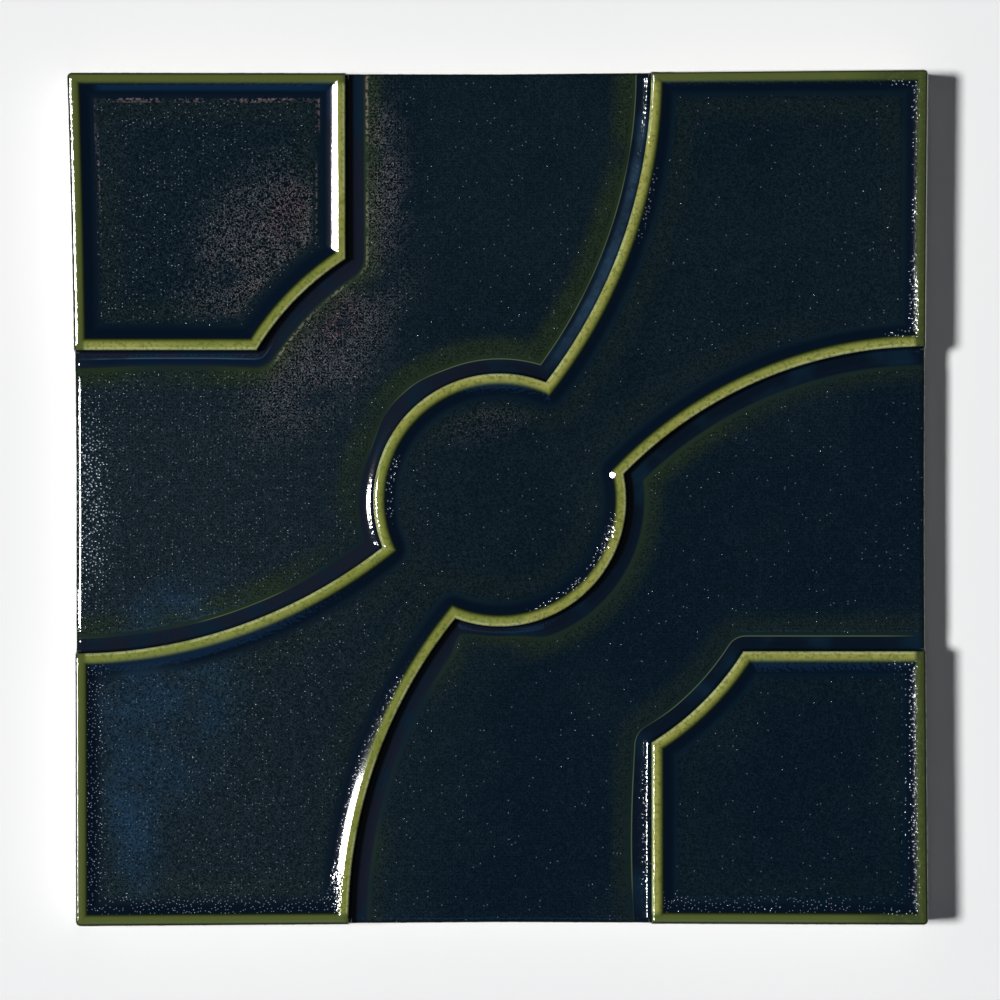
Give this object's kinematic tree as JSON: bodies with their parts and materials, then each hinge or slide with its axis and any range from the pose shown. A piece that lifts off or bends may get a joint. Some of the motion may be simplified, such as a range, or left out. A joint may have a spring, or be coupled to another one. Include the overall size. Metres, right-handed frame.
{
  "type": "relief wall tile",
  "caption": "Square ceramic accent tile with rimmed corner cells and a diagonal band with a round hub, raised above sunken fields, under a dark teal gloss glaze.",
  "frame": {"origin": "centre of the tile's outline, on its flat back", "axes": "+Z out of the glazed face; +X and +Y along the sides, with the plain cells at the -X +Y and +X -Y corners"},
  "size_m": [0.1522, 0.1514, 0.011],
  "materials": {
    "glaze": "gloss teal-black glaze that breaks to olive green on the rims, over a pale clay body that is bare on the back"
  },
  "bodies": {
    "root": {"tile_body": "glaze"}
  },
  "joints": []
}
